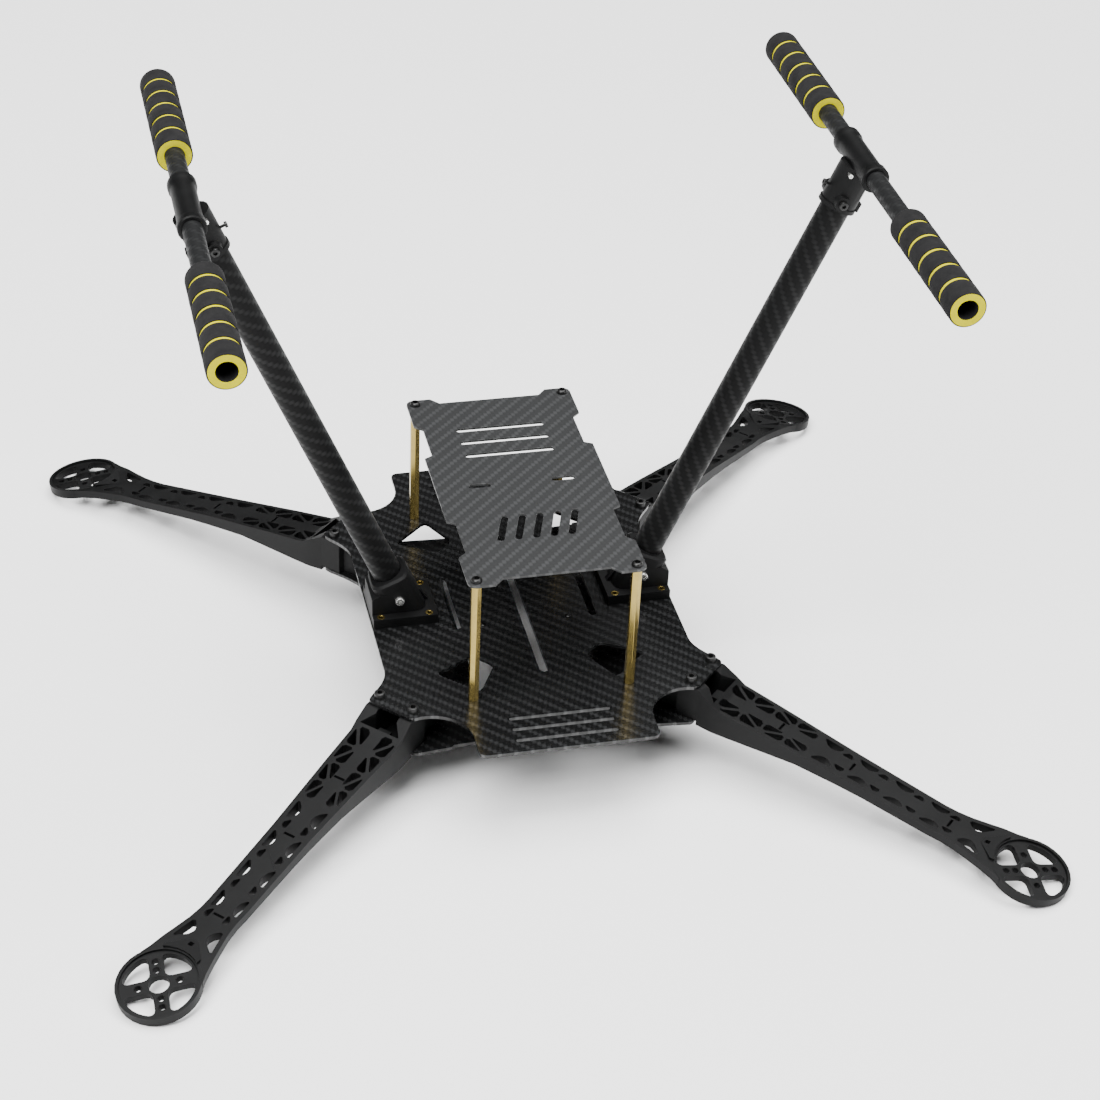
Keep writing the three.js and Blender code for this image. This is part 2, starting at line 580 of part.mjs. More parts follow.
const armGeometry = toGeometry(armSolid());
const armScrewGeometry = toGeometry(capScrew(2.25, 2.5, SCREW_RADIUS, ARM_SCREW_LENGTH));
const coverScrewGeometry = toGeometry(buttonScrew(2.35, 1.4, ARM_SCREW_LENGTH)).rotateX(Math.PI);
for (const [corner, degrees] of Object.entries(CORNERS)) {
  const station = new THREE.Group();
  station.rotation.z = THREE.MathUtils.degToRad(degrees);
  group.add(station);
  addMesh(station, `arm_${corner}`, armGeometry, nylon());
  for (const [letter, across] of [["a", -ARM_SCREW_OFFSET], ["b", ARM_SCREW_OFFSET]]) {
    const place = [ARM_SCREW_REACH, across];
    const [above, below] = [[...place, MAIN_PLATE_TOP], [...place, COVER_PLATE_BOTTOM]];
    addMesh(station, `arm_screw_${corner}_${letter}`, armScrewGeometry, blackSteel(), ...above);
    addMesh(station, `cover_screw_${corner}_${letter}`, coverScrewGeometry, blackSteel(), ...below);
  }
}

const postBody = rod(POST_ACROSS_FLATS / Math.sqrt(3), POST_LENGTH, 0, 0, 0, 6);
const postGeometry = toGeometry(postBody.subtract(rod(SCREW_HOLE_RADIUS, 10, 0, 0, POST_LENGTH - 8)));
const postScrewGeometry = toGeometry(buttonScrew(2.35, 1.6, 6));
mirrored([POST_X, POST_Y]).forEach(([x, y], i) => {
  const corner = ["rear_right", "rear_left", "front_left", "front_right"][i];
  addMesh(group, `post_${corner}`, postGeometry, brass(), x, y, MAIN_PLATE_TOP);
  addMesh(group, `post_screw_${corner}`, postScrewGeometry, blackSteel(), x, y, BATTERY_PLATE_TOP);
});

const insertBody = rod(INSERT_RADIUS, FLANGE_HEIGHT + 0.1, 0, 0, 0);
const insertGeometry = toGeometry(insertBody.subtract(rod(INSERT_BORE_RADIUS, 10, 0, 0, -1, 8)));
const legBoltGeometry = toGeometry(capScrew(1.9, 1.6, LEG_BOLT_RADIUS, 18));
const teeBoltGeometry = toGeometry(capScrew(1.8, 1.4, TEE_BOLT_RADIUS, 17));
const pinGeometry = toGeometry(capScrew(PIN_RADIUS, 0.8, PIN_RADIUS - 0.1, 1.6));
const gripGeometry = toGeometry(gripSolid());
const skidBore = SKID_RADIUS - TUBE_WALL;
const skidGeometry = toGeometry(tube(SKID_RADIUS, skidBore, -SKID_HALF_LENGTH, SKID_HALF_LENGTH, 24));

for (const [name, side] of Object.entries(SIDES)) {
  addMesh(group, `leg_mount_${name}`, toGeometry(legMount(side)), nylon());
  for (const [corner, [x, y]] of Object.entries(INSERT_PLACES)) {
    addMesh(group, `insert_${name}_${corner}`, insertGeometry, brass(), side * x, y, MAIN_PLATE_TOP);
  }

  const leg = new THREE.Group();
  leg.position.set(side * LEG_FOOT_X, 0, MAIN_PLATE_TOP);
  leg.rotation.y = side * LEG_TILT;
  group.add(leg);
  addMesh(leg, `leg_tube_${name}`, toGeometry(legTube(side)), carbonTube());
  const legBoltPlace = [0, -SOCKET_HALF_DEPTH, LEG_BOLT_RISE];
  const legBolt = addMesh(leg, `leg_bolt_${name}`, legBoltGeometry, brightSteel(), ...legBoltPlace);
  legBolt.rotation.x = Math.PI / 2;

  const head = new THREE.Group();
  head.position.z = LEG_REACH;
  leg.add(head);
  addMesh(head, `tee_${name}`, toGeometry(teeSolid(side)), nylon());
  const boltPlace = [side * TEE_BOLT_X, -TEE_BOSS_DEPTH, -TEE_BOLT_DROP];
  const bolt = addMesh(head, `tee_bolt_${name}`, teeBoltGeometry, blackSteel(), ...boltPlace);
  bolt.rotation.x = Math.PI / 2;
  const pin = addMesh(head, `tee_pin_${name}`, pinGeometry, brightSteel(), side * PIN_X, PIN_Y, -PIN_DROP);
  pin.rotation.x = Math.PI / 2;
  const setScrew = onInnerSide(capScrew(1.3, 1.1, 0.65, 2.6), side, SET_SCREW_X, -SET_SCREW_DROP);
  addMesh(head, `tee_set_screw_${name}`, toGeometry(setScrew), blackSteel());

  const skidHeight = MAIN_PLATE_TOP + SKID_RISE;
  addMesh(group, `skid_tube_${name}`, skidGeometry, carbonTube(), side * SKID_X, 0, skidHeight);
  for (const [end, start] of Object.entries(GRIP_STARTS)) {
    addMesh(group, `grip_${end}_${name}`, gripGeometry, foam(), side * SKID_X, start, skidHeight);
  }
}

export default group;
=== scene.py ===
"""Looks of an inverted multirotor frame, built around its CAD model. Metres, in the CAD model's frame."""

import math

import bmesh
import bpy
from mathutils import Matrix, Vector


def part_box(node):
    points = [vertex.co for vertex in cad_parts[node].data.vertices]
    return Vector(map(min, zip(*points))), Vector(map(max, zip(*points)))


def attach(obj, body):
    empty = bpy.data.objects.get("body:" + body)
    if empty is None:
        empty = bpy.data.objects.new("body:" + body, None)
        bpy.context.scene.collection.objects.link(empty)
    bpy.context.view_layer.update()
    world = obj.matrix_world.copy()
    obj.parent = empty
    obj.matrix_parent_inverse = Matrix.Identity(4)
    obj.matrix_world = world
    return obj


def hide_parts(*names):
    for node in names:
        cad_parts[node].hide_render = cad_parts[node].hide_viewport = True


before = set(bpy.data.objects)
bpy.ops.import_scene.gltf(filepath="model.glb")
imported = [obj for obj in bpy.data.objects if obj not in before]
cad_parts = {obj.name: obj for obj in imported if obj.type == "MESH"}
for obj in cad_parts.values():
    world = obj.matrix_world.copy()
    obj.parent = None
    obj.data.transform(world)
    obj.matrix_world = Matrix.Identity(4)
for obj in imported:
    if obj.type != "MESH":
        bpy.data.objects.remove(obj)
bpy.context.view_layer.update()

MM = 0.001
NODES = sorted(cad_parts)
SIDES = {"left": -1, "right": 1}

# ---------------------------------------------------------------- camera

CAMERA_AZIMUTH = -14.481
CAMERA_ELEVATION = 35.083
CAMERA_ROLL = 2.741
CAMERA_DISTANCE = 1.13063
CAMERA_TARGET = Vector((0.01597, 0.00819, 0.05628))
CAMERA_LENS = 84.83
SENSOR_WIDTH = 36.0
CAMERA_CLIP = 0.05


def make_camera():
    """A camera that looks at its target from an azimuth and an elevation, with a small roll."""
    data = bpy.data.cameras.new("camera")
    data.lens = CAMERA_LENS
    data.sensor_width = SENSOR_WIDTH
    data.clip_start = CAMERA_CLIP
    camera = bpy.data.objects.new("camera", data)
    bpy.context.scene.collection.objects.link(camera)
    turn = (
        Matrix.Rotation(math.radians(CAMERA_AZIMUTH), 4, "Z")
        @ Matrix.Rotation(math.radians(90 - CAMERA_ELEVATION), 4, "X")
        @ Matrix.Rotation(math.radians(CAMERA_ROLL), 4, "Z")
    )
    back_off = Matrix.Translation((0, 0, CAMERA_DISTANCE))
    camera.matrix_world = Matrix.Translation(CAMERA_TARGET) @ turn @ back_off
    bpy.context.scene.camera = camera


# ---------------------------------------------------------------- materials


class Surface:
    """A Principled material with short ways to add nodes to it."""

    def __init__(self, name, **settings):
        self.material = bpy.data.materials.new(name)
        self.material.use_nodes = True
        self.tree = self.material.node_tree
        self.shader = self.tree.nodes["Principled BSDF"]
        for key, value in settings.items():
            self.shader.inputs[key.replace("_", " ")].default_value = value
        self.place = self.tree.nodes.new("ShaderNodeTexCoord").outputs["Object"]

    def feed(self, socket, value):
        """Links a node's output to an input, or writes a plain value in it. None leaves the input alone."""
        if isinstance(value, bpy.types.NodeSocket):
            self.tree.links.new(value, socket)
        elif value is not None:
            socket.default_value = value

    def math(self, operation, *values):
        node = self.tree.nodes.new("ShaderNodeMath")
        node.operation = operation
        for socket, value in zip(node.inputs, values):
            self.feed(socket, value)
        return node.outputs[0]

    def split(self, vector):
        node = self.tree.nodes.new("ShaderNodeSeparateXYZ")
        self.feed(node.inputs[0], vector)
        return node.outputs

    def turned(self, vector, axis, angle, centre):
        node = self.tree.nodes.new("ShaderNodeVectorRotate")
        node.rotation_type = axis + "_AXIS"
        self.feed(node.inputs["Vector"], vector)
        self.feed(node.inputs["Center"], centre)
        self.feed(node.inputs["Angle"], angle)
        return node.outputs[0]

    def noise(self, scale, detail=2.0, roughness=0.5):
        node = self.tree.nodes.new("ShaderNodeTexNoise")
        self.feed(node.inputs["Vector"], self.place)
        node.inputs["Scale"].default_value = scale
        node.inputs["Detail"].default_value = detail
        node.inputs["Roughness"].default_value = roughness
        return node.outputs[0]

    def cells(self, scale):
        node = self.tree.nodes.new("ShaderNodeTexVoronoi")
        self.feed(node.inputs["Vector"], self.place)
        node.inputs["Scale"].default_value = scale
        return node.outputs["Distance"]

    def ramp(self, value, *stops):
        node = self.tree.nodes.new("ShaderNodeValToRGB")
        self.feed(node.inputs[0], value)
        points = node.color_ramp.elements
        while len(points) < len(stops):
            points.new(0.5)
        for point, (position, colour) in zip(points, stops):
            point.position = position
            point.color = (*colour, 1)
        return node.outputs[0]

    def between(self, value, low, high):
        node = self.tree.nodes.new("ShaderNodeMapRange")
        self.feed(node.inputs["Value"], value)
        node.inputs["To Min"].default_value = low
        node.inputs["To Max"].default_value = high
        return node.outputs[0]

    def bump(self, height, distance, strength=1.0, normal=None):
        node = self.tree.nodes.new("ShaderNodeBump")
        node.inputs["Strength"].default_value = strength
        node.inputs["Distance"].default_value = distance
        self.feed(node.inputs["Height"], height)
        self.feed(node.inputs["Normal"], normal)
        return node.outputs[0]

    def set(self, name, value):
        self.feed(self.shader.inputs[name], value)


def grey(level):
    """A faintly blue grey."""
    return (level, level * 1.03, level * 1.06)


TOW = 1.7 * MM                  # width of one tow of the 2/2 twill
TWILL_REPEAT = 4.0              # tows after which the pattern starts again
# The tows' colour follows this height too: each tow is painted darker towards its edges, as painted shade
# across its curve.
TOW_EDGE = 0.65                 # height at a tow's edge, from 0 to 1
WEAVE_RELIEF = 0.04 * MM
FIBRE_RELIEF = 0.008 * MM
# How light the warp and the weft tows are painted in the base colour: painted sheen, the warp tows painted
# lighter as if they caught more light.
WARP_PAINTED_SHEEN = 0.85
WEFT_PAINTED_SHEEN = 0.12
FIBRE_TONE = 0.1
FIBRE_SCALE = 4200.0
CLOUD_SCALE = 60.0


def weave(surface, along, across, mirrored):
    """Heights, from 0 to 1, of the warp, the weft and the higher of the two in a 2/2 twill."""
    u = surface.math("DIVIDE", along, TOW)
    v = surface.math("DIVIDE", across, -TOW if mirrored else TOW)
    cell_u, cell_v = surface.math("FLOOR", u), surface.math("FLOOR", v)

    def tow(cell, running, width_position, offset):
        phase = surface.math("FLOORED_MODULO", surface.math("ADD", cell, running), TWILL_REPEAT)
        wave = surface.math("MULTIPLY", surface.math("SUBTRACT", phase, offset), 2 * math.pi / TWILL_REPEAT)
        length_wise = surface.math("SINE", wave)
        arch = surface.math("MULTIPLY", surface.math("FRACT", width_position), math.pi)
        width_wise = surface.math("SINE", arch)
        crown = surface.math("MULTIPLY_ADD", width_wise, 1 - TOW_EDGE, TOW_EDGE)
        return surface.math("MULTIPLY", surface.math("MAXIMUM", length_wise, 0.0), crown)

    warp = tow(cell_u, v, u, 0.0)
    weft = tow(cell_v, u, v, TWILL_REPEAT / 2)
    return warp, weft, surface.math("MAXIMUM", warp, weft)


def carbon(name, dark, light, sheen, roughness, mirrored=False, tube=None):
    """Twill carbon laminate, flat or wrapped on a tube.

    A tube is (a point on its axis, the axis and angle of the turn that stands it up, its radius).
    """
    surface = Surface(name, Metallic=0.0, IOR=1.5)
    if tube:
        centre, axis_turn, radius = tube
        upright = surface.turned(surface.place, *axis_turn, centre)
        x, y, z = surface.split(upright)
        from_x = surface.math("SUBTRACT", x, centre[0])
        from_y = surface.math("SUBTRACT", y, centre[1])
        around = surface.math("ARCTAN2", from_y, from_x)
        along, across = z, surface.math("MULTIPLY", around, radius)
    else:
        along, across, _ = surface.split(surface.place)
    warp, weft, height = weave(surface, along, across, mirrored)
    cloud = surface.noise(CLOUD_SCALE, 3.0, 0.6)
    fibres = surface.noise(FIBRE_SCALE, 1.0)
    # The base colour carries painted sheen on the warp tows and painted shade at each tow's edges; the
    # cloud and fibre noise add the laminate's own random tone.
    painted_sheen_and_tone = surface.math("MULTIPLY_ADD", warp, WARP_PAINTED_SHEEN, surface.math("MULTIPLY", weft, WEFT_PAINTED_SHEEN))
    painted_sheen_and_tone = surface.math("MULTIPLY", painted_sheen_and_tone, surface.between(cloud, 0.6, 1.4))
    painted_sheen_and_tone = surface.math("MULTIPLY_ADD", fibres, FIBRE_TONE, painted_sheen_and_tone)
    surface.set("Base Color", surface.ramp(painted_sheen_and_tone, (0.1, grey(dark)), (0.85, grey(light))))
    surface.set("Specular IOR Level", surface.between(painted_sheen_and_tone, sheen * 0.7, sheen * 1.3))
    surface.set("Roughness", surface.between(painted_sheen_and_tone, roughness * 1.2, roughness * 0.85))
    normal = surface.bump(height, WEAVE_RELIEF, 0.4)
    surface.set("Normal", surface.bump(fibres, FIBRE_RELIEF, 0.25, normal))
    return surface.material


def nylon():
    """Black moulded nylon with a fine grain and soft flow marks."""
    surface = Surface("nylon", IOR=1.5)
    grain = surface.noise(2600.0, 3.0, 0.6)
    flow = surface.noise(70.0, 4.0, 0.6)
    surface.set("Base Color", surface.ramp(flow, (0.3, grey(0.0026)), (0.7, grey(0.0048))))
    surface.set("Specular IOR Level", 0.14)
    surface.set("Roughness", surface.between(flow, 0.42, 0.6))
    surface.set("Normal", surface.bump(grain, 0.03 * MM, 0.5))
    return surface.material


def foam(name, low, high, gloss):
    """Matte cellular foam whose colour drifts between two tones."""
    surface = Surface(name, Roughness=0.9, IOR=1.4)
    surface.set("Specular IOR Level", gloss)
    cells = surface.cells(1900.0)
    blotches = surface.noise(160.0, 4.0, 0.65)
    surface.set("Base Color", surface.ramp(blotches, (0.3, low), (0.7, high)))
    pores = surface.bump(cells, 0.12 * MM, 0.5)
    surface.set("Normal", surface.bump(blotches, 0.25 * MM, 0.35, pores))
    return surface.material


def metal(name, colour, roughness, metallic, scratch_scale, scratch_depth=0.2):
    """Machined metal with worn, slightly uneven gloss."""
    surface = Surface(name, Metallic=metallic)
    scratches = surface.noise(scratch_scale, 3.0, 0.7)
    tint = surface.ramp(scratches, (0.25, tuple(c * 0.75 for c in colour)), (0.75, colour))
    surface.set("Base Color", tint)
    surface.set("Roughness", surface.between(scratches, roughness * 0.75, roughness * 1.3))
    surface.set("Normal", surface.bump(scratches, 0.01 * MM, scratch_depth))
    return surface.material


# ---------------------------------------------------------------- mesh helpers


def new_object(name, bm, *materials):
    """Turns a bmesh into an object of the scene, with its faces pointing out."""
    mesh = bpy.data.meshes.new(name)
    bmesh.ops.recalc_face_normals(bm, faces=bm.faces)
    bm.to_mesh(mesh)
    bm.free()
    piece = bpy.data.objects.new(name, mesh)
    bpy.context.scene.collection.objects.link(piece)
    for material in materials:
        mesh.materials.append(material)
    return piece


def smooth(piece, degrees=32):
    bpy.ops.object.select_all(action="DESELECT")
    piece.select_set(True)
    bpy.context.view_layer.objects.active = piece
    bpy.ops.object.shade_smooth_by_angle(angle=math.radians(degrees))


def ring(bm, radius_at, height, segments):
    """Points around Z at one height, as far out as a function of the angle says."""
    ring_points = []
    for i in range(segments):
        angle = 2 * math.pi * i / segments
        radius = radius_at(angle)
        ring_points.append(bm.verts.new((radius * math.cos(angle), radius * math.sin(angle), height)))
    return ring_points


def bridge(bm, lower, upper, material=0):
    count = len(lower)
    for i in range(count):
        j = (i + 1) % count
        bm.faces.new((lower[i], lower[j], upper[j], upper[i])).material_index = material


def round_of(radius):
    return lambda angle: radius


def hexagon_of(half_flats):
    """Radius of a hexagon at an angle, from the distance between its middle and its flats."""
    sixth = math.pi / 3
    return lambda angle: half_flats / math.cos((angle % sixth) - sixth / 2)


def lathe(name, rings, segments, materials, closed=False):
    """A solid of stacked rings along Z: each is (radius function, height, material above it)."""
    bm = bmesh.new()
    loops = [ring(bm, radius_at, height, segments) for radius_at, height, _ in rings]
    for (lower, upper), (_, _, material) in zip(zip(loops, loops[1:]), rings):
        bridge(bm, lower, upper, material)
    if closed:
        bridge(bm, loops[-1], loops[0], rings[-1][2])
    else:
        bm.faces.new(loops[0]).material_index = rings[0][2]
        bm.faces.new(loops[-1]).material_index = rings[-1][2]
    return new_object(name, bm, *materials)


def settle(piece, matrix, node, body="frame"):
    """Places a piece by its vertices, so that its object stays at the origin like a CAD node's."""
    piece.data.transform(matrix)
    smooth(piece)
    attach(piece, body)
    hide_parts(node)
    return piece


def centre_of(node):
    low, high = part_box(node)
    return (low + high) / 2


def apply_modifier(piece, modifier):
    bpy.context.view_layer.objects.active = piece
    bpy.ops.object.modifier_apply(modifier=modifier.name)


MERGE_DISTANCE = 0.002 * MM
SHARP_ANGLE = 35                # degrees between faces, from which an edge is rounded
FACE_WEIGHT = 100               # how far large faces set the shading of their corners


def softened(node, material, width, flat=1.0):
    """A copy of a CAD node with its sharp edges rounded. Faces within an angle of flat are joined first."""
    piece = bpy.data.objects.new(node + "_body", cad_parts[node].data.copy())
    bpy.context.scene.collection.objects.link(piece)
    piece.data.materials.clear()
    piece.data.materials.append(material)
    bm = bmesh.new()
    bm.from_mesh(piece.data)
    bmesh.ops.remove_doubles(bm, verts=bm.verts, dist=MERGE_DISTANCE)
    if flat:
        bmesh.ops.dissolve_limit(bm, angle_limit=math.radians(flat), verts=bm.verts, edges=bm.edges)
    bm.to_mesh(piece.data)
    bm.free()
    rounding = piece.modifiers.new("rounding", "BEVEL")
    rounding.width = width
    rounding.segments = 2
    rounding.limit_method = "ANGLE"
    rounding.angle_limit = math.radians(SHARP_ANGLE)
    apply_modifier(piece, rounding)
    settle(piece, Matrix.Identity(4), node)
    weights = piece.modifiers.new("weights", "WEIGHTED_NORMAL")
    weights.keep_sharp = True
    weights.weight = FACE_WEIGHT
    apply_modifier(piece, weights)


# ---------------------------------------------------------------- pieces

LIE_ALONG_Y = Matrix.Rotation(-math.pi / 2, 4, "X")
FACE_FRONT = Matrix.Rotation(math.pi / 2, 4, "X")
FACE_DOWN = Matrix.Rotation(math.pi, 4, "X")

GRIP_PITCH = 11.3 * MM
GROOVE_COUNT = 5
GROOVE_HALF_WIDTH = 0.95 * MM
GROOVE_DEPTH = 0.6 * MM
GROOVE_SLOPE = 0.1 * MM
GRIP_BORE = 4.1 * MM
GRIP_END_RADIUS = 3.0 * MM
GRIP_END_STEPS = 6
GRIP_SEGMENTS = 72
BLACK, YELLOW = 0, 1            # the grip's two materials


def grip(node, black, yellow):
    """Black foam sleeve with yellow grooves and a yellow front face."""
    low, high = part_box(node)
    radius, length = (high.x - low.x) / 2, high.y - low.y
    rings = [
        (GRIP_BORE, 0.0, YELLOW),
        (radius - 0.6 * MM, 0.0, BLACK),
        (radius - 0.25 * MM, 0.05 * MM, BLACK),
        (radius - 0.06 * MM, 0.35 * MM, BLACK),
    ]
    groove_side = [
        (0.05 * MM, GROOVE_HALF_WIDTH + 0.5 * MM),
        (0.2 * MM, GROOVE_HALF_WIDTH),
        (GROOVE_DEPTH, GROOVE_HALF_WIDTH - GROOVE_SLOPE),
    ]
    for i in range(1, GROOVE_COUNT + 1):
        middle = GRIP_PITCH * i
        rings.append((radius, middle - GRIP_PITCH / 2, BLACK))
        for depth, off in groove_side:
            rings.append((radius - depth, middle - off, YELLOW if depth == GROOVE_DEPTH else BLACK))
        for depth, off in reversed(groove_side):
            rings.append((radius - depth, middle + off, BLACK))
    for step in range(GRIP_END_STEPS + 1):
        angle = math.pi / 2 * step / GRIP_END_STEPS
        inset = GRIP_END_RADIUS * (1 - math.cos(angle))
        rings.append((radius - inset, length - GRIP_END_RADIUS * (1 - math.sin(angle)), BLACK))
    rings.append((GRIP_BORE, length, BLACK))
    stacked = [(round_of(r), h, material) for r, h, material in rings]
    piece = lathe(node + "_foam", stacked, GRIP_SEGMENTS, (black, yellow), closed=True)
    place = Vector(((low.x + high.x) / 2, low.y, (low.z + high.z) / 2))
    settle(piece, Matrix.Translation(place) @ LIE_ALONG_Y, node, body=node)


TUBE_WALL = 1.0 * MM
TUBE_EDGE = 0.15 * MM
TUBE_SEGMENTS = 64


def hollow_tube(node, radius, length, matrix, material):
    """A tube along Z from z = 0, with its edges broken at both ends."""
    inner = radius - TUBE_WALL
    profile = [
        (inner, TUBE_EDGE),
        (inner + TUBE_EDGE, 0.0),
        (radius - TUBE_EDGE, 0.0),
        (radius, TUBE_EDGE),
        (radius, length - TUBE_EDGE),
        (radius - TUBE_EDGE, length),
        (inner + TUBE_EDGE, length),
        (inner, length - TUBE_EDGE),
    ]
    rings = [(round_of(r), h, 0) for r, h in profile]
    piece = lathe(node + "_tube", rings, TUBE_SEGMENTS, (material,), closed=True)
    settle(piece, matrix, node)


SCREW_SEGMENTS = 36
SCREW_TIP = 0.3 * MM
KEY_TO_HEAD = 0.47              # half flats of the hexagonal recess, to the head's radius
KEY_FLOOR = 0.25                # height of the recess's floor, to the head's height
DOME_STEPS = 6


def screw_piece(node, head_radius, head_height, shank_radius, length, dome, material, matrix, slot):
    """A screw pointing down from its head's seat at z = 0, with a hexagonal recess."""
    key = hexagon_of(head_radius * KEY_TO_HEAD)
    rings = [
        (round_of(shank_radius * 0.8), -length),
        (round_of(shank_radius), -length + SCREW_TIP),
        (round_of(shank_radius), 0.0),
    ]
    if dome:
        rings.append((round_of(head_radius * 0.96), 0.0))
        rings.append((round_of(head_radius), head_height * 0.12))
        for step in range(1, DOME_STEPS):
            angle = math.pi / 2 * step / DOME_STEPS
            radius = head_radius * (0.5 + 0.5 * math.cos(angle))
            rings.append((round_of(radius), head_height * (0.12 + 0.88 * math.sin(angle) ** 0.9)))
    else:
        edge = 0.12 * head_radius
        rings += [
            (round_of(head_radius), 0.0),
            (round_of(head_radius), head_height - edge),
            (round_of(head_radius - edge * 0.4), head_height - edge * 0.3),
            (round_of(head_radius - edge), head_height),
        ]
    rings += [(key, head_height), (key, head_height * KEY_FLOOR)]
    piece = lathe(node + "_screw", [(r, h, 0) for r, h in rings], SCREW_SEGMENTS, (material,))
    settle(piece, matrix, node)


# ---------------------------------------------------------------- dressing the frame

# A screw is (head radius, head height, shank radius, length below the head, whether the head is a dome).
POST_SCREW = (2.35 * MM, 1.6 * MM, 1.2 * MM, 6 * MM, True)
ARM_SCREW = (2.25 * MM, 2.5 * MM, 1.2 * MM, 7 * MM, False)
COVER_SCREW = (2.35 * MM, 1.4 * MM, 1.2 * MM, 7 * MM, True)
LEG_BOLT = (1.9 * MM, 1.6 * MM, 1.2 * MM, 18 * MM, False)
TEE_BOLT = (1.8 * MM, 1.4 * MM, 1.0 * MM, 17 * MM, False)

LEG_RADIUS = 6.3 * MM
SKID_RADIUS = 4.0 * MM
LEG_FOOT_X = 48.9 * MM
LEG_START = 4.4 * MM            # along the leg, from the main plate
LEG_TOP_DROP = 8.0 * MM         # from the skid tube's middle down to the leg tube's end
LEG_BOLT_RISE = 12.1 * MM
TEE_BOLT_DROP = 17.5 * MM
TEE_BOLT_SHIFT = 2.3 * MM
CLAMP_HALF_DEPTH = 9.2 * MM     # of the leg's socket and of the tee's clamp

PLATE_ROUNDING = 0.12 * MM
ARM_ROUNDING = 0.2 * MM
MOULDED_ROUNDING = 0.3 * MM
POST_ROUNDING = 0.15 * MM
INSERT_ROUNDING = 0.1 * MM
TRIM_ROUNDING = 0.08 * MM


def dress():
    """Replaces every CAD node by a finer piece with its own material."""
    main_carbon = carbon("carbon_main_plate", dark=0.003, light=0.018, sheen=0.55, roughness=0.2)
    cover_carbon = carbon("carbon_cover_plate", dark=0.003, light=0.016, sheen=0.45, roughness=0.3)
    # The battery plate's carbon is painted lighter than the main and cover plates': painted reflection, for
    # the extra light that plate catches.
    battery_carbon = carbon(
        "carbon_battery_plate", dark=0.015, light=0.034, sheen=0.45, roughness=0.34, mirrored=True
    )
    moulded = nylon()
    brass = metal(
        "brass", (0.4, 0.3, 0.09), roughness=0.2, metallic=0.95, scratch_scale=500.0, scratch_depth=0.06
    )
    black_steel = metal(
        "black_steel", (0.009, 0.009, 0.009), roughness=0.36, metallic=0.35, scratch_scale=1500.0
    )
    bright_steel = metal(
        "bright_steel", (0.8, 0.8, 0.78), roughness=0.25, metallic=0.9, scratch_scale=1200.0
    )
    black_foam = foam("black_foam", (0.006, 0.006, 0.0065), (0.0135, 0.0133, 0.0135), gloss=0.25)
    yellow_foam = foam("yellow_foam", (0.44, 0.4, 0.0), (0.53, 0.48, 0.0), gloss=0.02)

    softened("main_plate", main_carbon, PLATE_ROUNDING)
    softened("cover_plate", cover_carbon, PLATE_ROUNDING)
    softened("battery_plate", battery_carbon, PLATE_ROUNDING)
    main_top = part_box("main_plate")[1].z
    cover_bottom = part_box("cover_plate")[0].z
    battery_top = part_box("battery_plate")[1].z
    skid_centre = centre_of("skid_tube_right")
    tilt = math.atan2(skid_centre.x - LEG_FOOT_X, skid_centre.z - main_top)
    reach = math.hypot(skid_centre.x - LEG_FOOT_X, skid_centre.z - main_top)

    for node in NODES:
        low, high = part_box(node)
        middle = (low + high) / 2
        if node.startswith("arm_screw_"):
            seat = Matrix.Translation((middle.x, middle.y, main_top))
            screw_piece(node, *ARM_SCREW, black_steel, seat, "black_steel")
        elif node.startswith("cover_screw_"):
            seat = Matrix.Translation((middle.x, middle.y, cover_bottom)) @ FACE_DOWN
            screw_piece(node, *COVER_SCREW, black_steel, seat, "black_steel")
        elif node.startswith("post_screw_"):
            seat = Matrix.Translation((middle.x, middle.y, battery_top))
            screw_piece(node, *POST_SCREW, black_steel, seat, "black_steel")
        elif node.startswith("arm_"):
            softened(node, moulded, ARM_ROUNDING, flat=None)
        elif node.startswith(("leg_mount_", "tee_left", "tee_right")):
            softened(node, moulded, MOULDED_ROUNDING)
        elif node.startswith("post_"):
            softened(node, brass, POST_ROUNDING)
        elif node.startswith("insert_"):
            softened(node, brass, INSERT_ROUNDING)
        elif node.startswith("grip_"):
            grip(node, black_foam, yellow_foam)
        elif node.startswith("skid_tube_"):
            wrap = (middle, ("X", math.pi / 2), SKID_RADIUS)
            material = carbon(
                "carbon_" + node, dark=0.009, light=0.0125, sheen=0.13, roughness=0.5, tube=wrap
            )
            place = Matrix.Translation((middle.x, low.y, middle.z)) @ LIE_ALONG_Y
            hollow_tube(node, SKID_RADIUS, high.y - low.y, place, material)

    for name, side in SIDES.items():
        foot = Vector((side * LEG_FOOT_X, 0, main_top))
        leg = Matrix.Translation(foot) @ Matrix.Rotation(side * tilt, 4, "Y")
        wrap = (foot, ("Y", -side * tilt), LEG_RADIUS)
        material = carbon(
            "carbon_leg_" + name, dark=0.0032, light=0.0058, sheen=0.12, roughness=0.44, tube=wrap
        )
        start = leg @ Matrix.Translation((0, 0, LEG_START))
        hollow_tube("leg_tube_" + name, LEG_RADIUS, reach - LEG_TOP_DROP - LEG_START, start, material)
        leg_bolt = leg @ Matrix.Translation((0, -CLAMP_HALF_DEPTH, LEG_BOLT_RISE)) @ FACE_FRONT
        screw_piece("leg_bolt_" + name, *LEG_BOLT, bright_steel, leg_bolt, "bright_steel")
        clamp = Vector((-side * TEE_BOLT_SHIFT, -CLAMP_HALF_DEPTH, reach - TEE_BOLT_DROP))
        tee_bolt = leg @ Matrix.Translation(clamp) @ FACE_FRONT
        screw_piece("tee_bolt_" + name, *TEE_BOLT, black_steel, tee_bolt, "black_steel")
        softened("tee_pin_" + name, bright_steel, TRIM_ROUNDING)
        softened("tee_set_screw_" + name, black_steel, TRIM_ROUNDING)


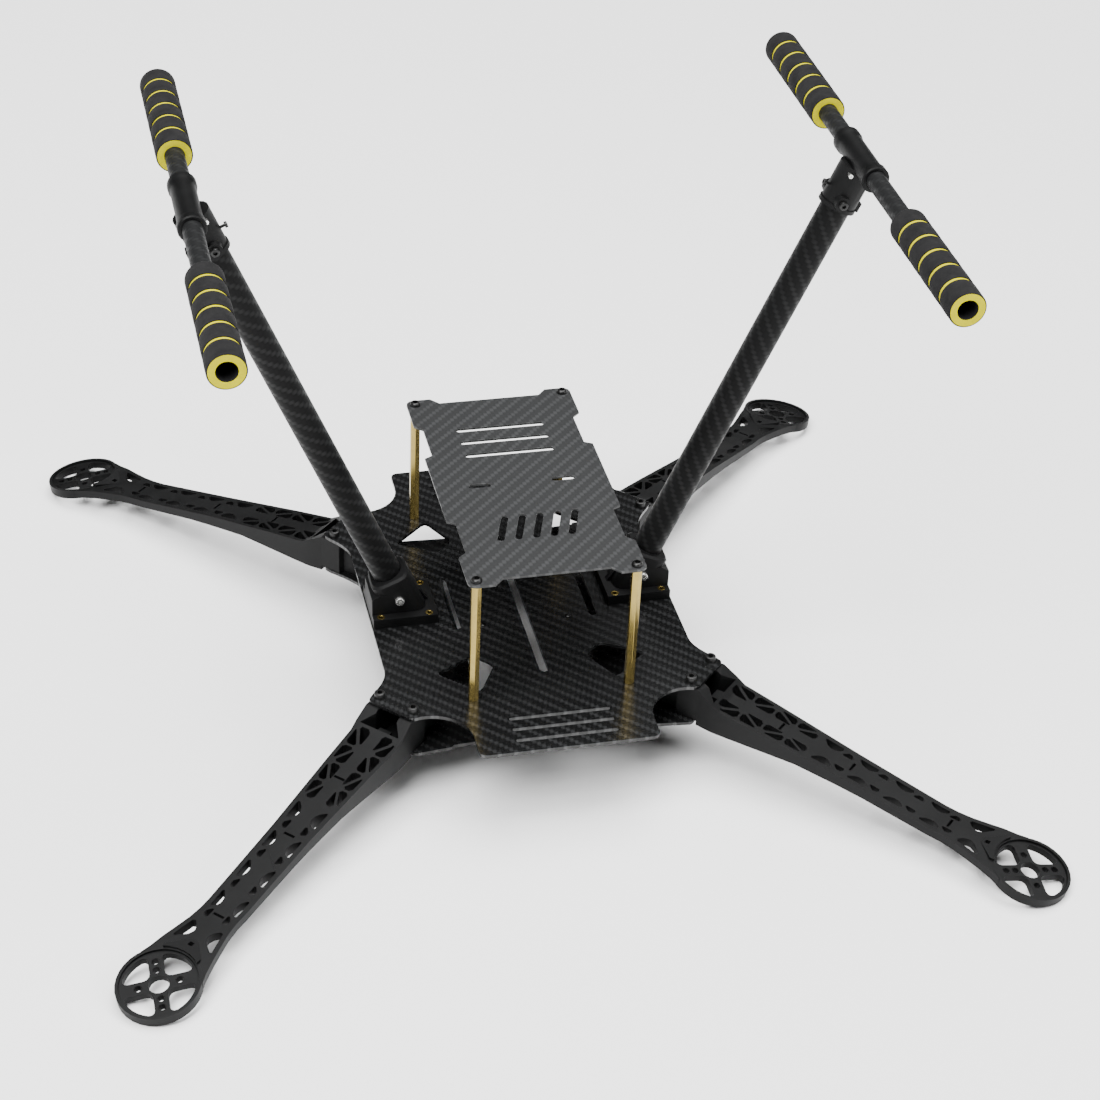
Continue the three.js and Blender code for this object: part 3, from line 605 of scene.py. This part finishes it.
# ---------------------------------------------------------------- floor and light


FLOOR_SIZE = 8                  # metres from the middle to an edge
FLOOR_GAP = 0.2 * MM


def make_floor():
    bm = bmesh.new()
    bmesh.ops.create_grid(bm, x_segments=1, y_segments=1, size=FLOOR_SIZE)
    surface = Surface("paper_floor", Roughness=0.9)
    paper = surface.ramp(surface.noise(3.0), (0.3, (0.9, 0.9, 0.9)), (0.7, (0.92, 0.92, 0.92)))
    surface.set("Base Color", paper)
    floor = new_object("floor", bm, surface.material)
    floor.location.z = -FLOOR_GAP


WALL_TOP = 0.55                 # height of the walls in the reflected surroundings, as the sine of an angle
WALL_LIGHT = 0.16
CEILING_LIGHT = 1.2
LIGHT_TARGET = (0, 0, 0.08)
# A lamp is (place, size, watts).
KEY_LAMP = ((-1.1, -0.9, 2.4), 2.0, 150)
FILL_LAMP = ((1.9, -1.3, 1.6), 1.6, 45)
SKY_DIRECTION = (0.5, 0.5, 2.6)
SKY_SPREAD = 52                 # degrees
SKY_STRENGTH = 5.3


def area_light(name, place, size, watts):
    """A round lamp that faces the frame."""
    data = bpy.data.lights.new(name, "AREA")
    data.shape = "DISK"
    data.size = size
    data.energy = watts
    light = bpy.data.objects.new(name, data)
    bpy.context.scene.collection.objects.link(light)
    light.location = place
    light.rotation_euler = (Vector(LIGHT_TARGET) - Vector(place)).to_track_quat("-Z", "Y").to_euler()


def sky_light():
    """A broad light that is equally strong at any distance, so that the floor stays pale to the horizon."""
    data = bpy.data.lights.new("sky", "SUN")
    data.angle = math.radians(SKY_SPREAD)
    data.energy = SKY_STRENGTH
    light = bpy.data.objects.new("sky", data)
    bpy.context.scene.collection.objects.link(light)
    light.rotation_euler = Vector(SKY_DIRECTION).to_track_quat("Z", "Y").to_euler()


def make_light():
    """Two large soft lights and a weak one, under a ceiling that is brighter than the walls."""
    world = bpy.data.worlds.new("studio")
    bpy.context.scene.world = world
    world.use_nodes = True
    nodes, links = world.node_tree.nodes, world.node_tree.links
    direction = nodes.new("ShaderNodeTexCoord")
    height = nodes.new("ShaderNodeSeparateXYZ")
    rise = nodes.new("ShaderNodeMapRange")
    rise.inputs["From Min"].default_value = WALL_TOP
    rise.inputs["From Max"].default_value = 1.0
    rise.inputs["To Min"].default_value = WALL_LIGHT
    rise.inputs["To Max"].default_value = CEILING_LIGHT
    links.new(direction.outputs["Generated"], height.inputs[0])
    links.new(height.outputs["Z"], rise.inputs["Value"])
    links.new(rise.outputs[0], nodes["Background"].inputs["Strength"])
    area_light("key", *KEY_LAMP)
    sky_light()
    area_light("fill", *FILL_LAMP)


make_camera()
dress()
make_floor()
make_light()
